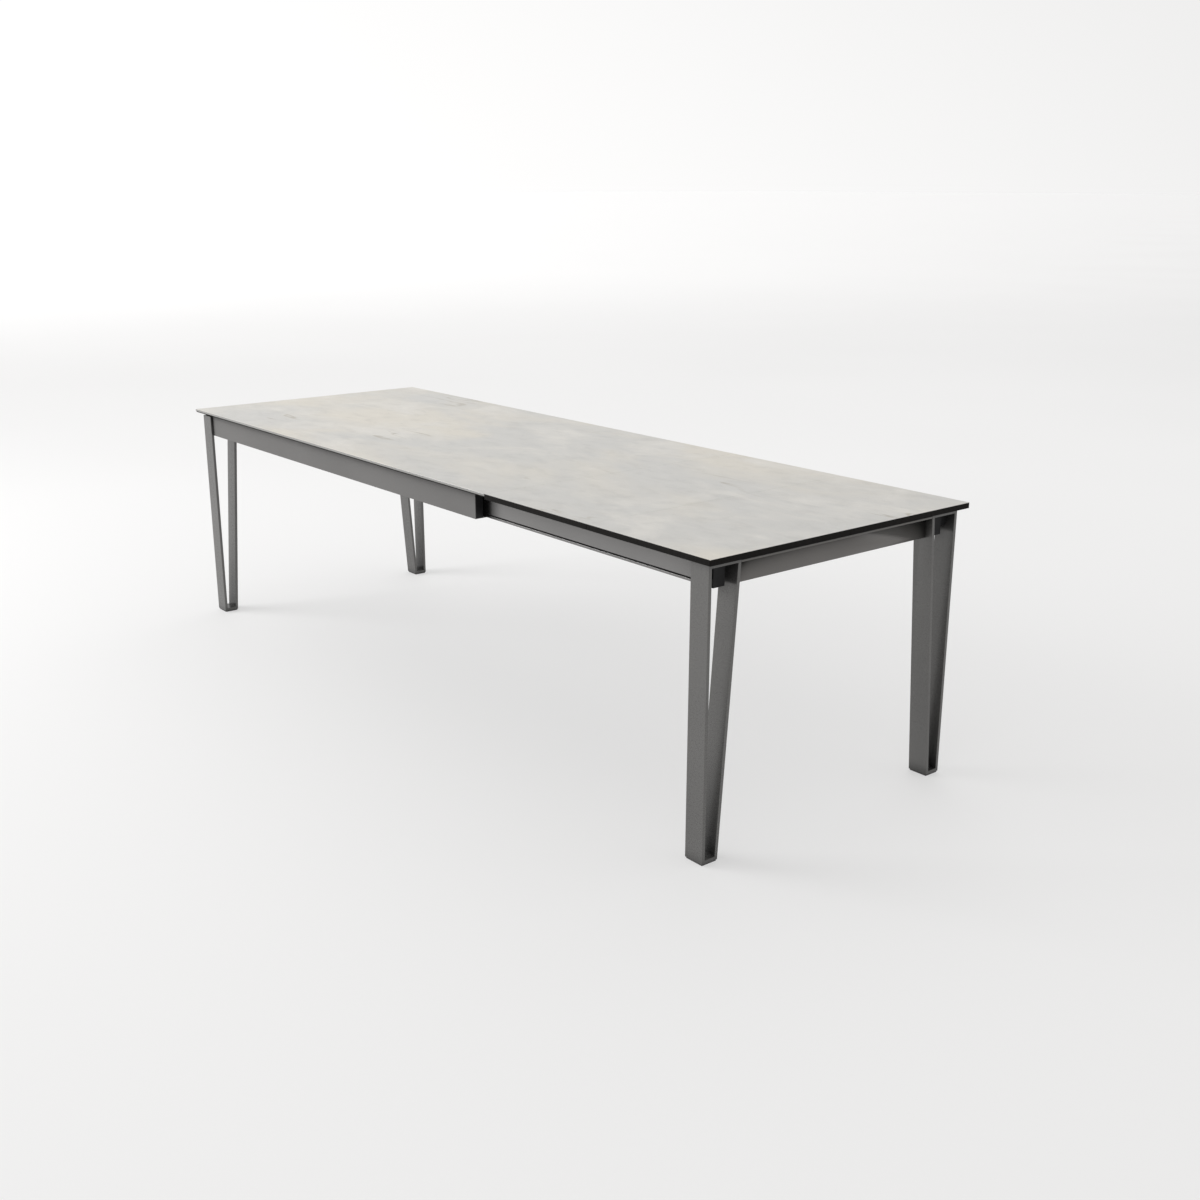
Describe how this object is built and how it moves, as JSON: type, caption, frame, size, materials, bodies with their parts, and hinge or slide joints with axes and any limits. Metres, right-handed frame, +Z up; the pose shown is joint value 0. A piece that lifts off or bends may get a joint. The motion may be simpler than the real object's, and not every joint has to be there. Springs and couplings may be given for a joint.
{
  "type": "extendable dining table",
  "caption": "Long dining table with a stone-look top, open flat-bar legs and a sliding end that makes room for loose folding leaves.",
  "frame": {"origin": "on the floor, under the centre of the fully extended table", "axes": "+X along the table towards the sliding end, +Y from the front long side to the back one, +Z up"},
  "size_m": [2.662, 0.9, 0.741],
  "materials": {
    "stone_slab": "satin stone-look decor with clouds and fine veins, polished light grey edge",
    "stone_decor": "satin stone-look decor sheet with clouds and fine veins",
    "leaf_core": "dense fibreboard dyed black, satin sealed edges",
    "backing_board": "thin dense fibreboard dyed black",
    "rail_paint": "extruded section with a fine anthracite powder coat",
    "beam_paint": "folded sheet with a fine anthracite powder coat",
    "leg_paint": "flat bar with a fine anthracite powder coat",
    "foot_plastic": "moulded black plastic",
    "black_nylon": "moulded black nylon",
    "rubber_pad": "soft black rubber",
    "mill_aluminium": "sawn mill finish",
    "zinc_steel": "bright zinc plate"
  },
  "bodies": {
    "base": {"fixed_top_slab": "stone_slab", "fixed_top_backing": "backing_board", "outer_rail_front": "rail_paint", "outer_rail_back": "rail_paint", "outer_rail_caps": "black_nylon", "rail_blocks_left": "mill_aluminium", "cross_member_left": "beam_paint", "cross_member_middle": "beam_paint", "cross_member_right": "beam_paint", "leaf_ledge": "zinc_steel", "stop_blocks": "zinc_steel", "mouth_glides": "black_nylon", "leg_front_left": "leg_paint", "leg_back_left": "leg_paint", "foot_front_left": "foot_plastic", "foot_back_left": "foot_plastic", "end_beam_left": "beam_paint", "beam_brackets_left": "zinc_steel", "beam_screws_left": "zinc_steel", "leg_screws_left": "zinc_steel", "top_spacers_left": "rubber_pad"},
    "moving_end": {"inner_rail_front": "rail_paint", "inner_rail_back": "rail_paint", "inner_rail_caps": "black_nylon", "rail_blocks_right": "mill_aluminium", "side_spacers_right": "black_nylon", "rear_glides": "black_nylon", "rear_tie": "beam_paint", "tie_screws": "zinc_steel", "leg_front_right": "leg_paint", "leg_back_right": "leg_paint", "foot_front_right": "foot_plastic", "foot_back_right": "foot_plastic", "end_beam_right": "beam_paint", "beam_brackets_right": "zinc_steel", "beam_screws_right": "zinc_steel", "leg_screws_right": "zinc_steel", "leg_pads_right": "rubber_pad", "beam_pads_right": "rubber_pad"},
    "leaf_1_front": {"leaf_1_front_core": "leaf_core", "leaf_1_front_decor": "stone_decor", "leaf_1_front_hinges": "zinc_steel", "leaf_1_front_locators": "black_nylon"},
    "leaf_1_back": {"leaf_1_back_core": "leaf_core", "leaf_1_back_decor": "stone_decor", "leaf_1_back_hinges": "zinc_steel", "leaf_1_back_locators": "black_nylon"},
    "leaf_2_front": {"leaf_2_front_core": "leaf_core", "leaf_2_front_decor": "stone_decor", "leaf_2_front_hinges": "zinc_steel", "leaf_2_front_locators": "black_nylon"},
    "leaf_2_back": {"leaf_2_back_core": "leaf_core", "leaf_2_back_decor": "stone_decor", "leaf_2_back_hinges": "zinc_steel", "leaf_2_back_locators": "black_nylon"}
  },
  "joints": [
    {"name": "extension_slide", "type": "slide", "parent": "base", "child": "moving_end", "axis": [-1, 0, 0], "range_m": [0, 0.852]},
    {"name": "leaf_1_lift", "type": "slide", "parent": "base", "child": "leaf_1_front", "axis": [0, 0, 1], "range_m": [0, 0.3]},
    {"name": "leaf_1_fold", "type": "hinge", "parent": "leaf_1_front", "child": "leaf_1_back", "pos_m": [0.692, 0, 0.7413], "axis": [1, 0, 0], "range_deg": [0, 180]},
    {"name": "leaf_2_lift", "type": "slide", "parent": "base", "child": "leaf_2_front", "axis": [0, 0, 1], "range_m": [0, 0.3]},
    {"name": "leaf_2_fold", "type": "hinge", "parent": "leaf_2_front", "child": "leaf_2_back", "pos_m": [1.118, 0, 0.7413], "axis": [1, 0, 0], "range_deg": [0, 180]}
  ]
}
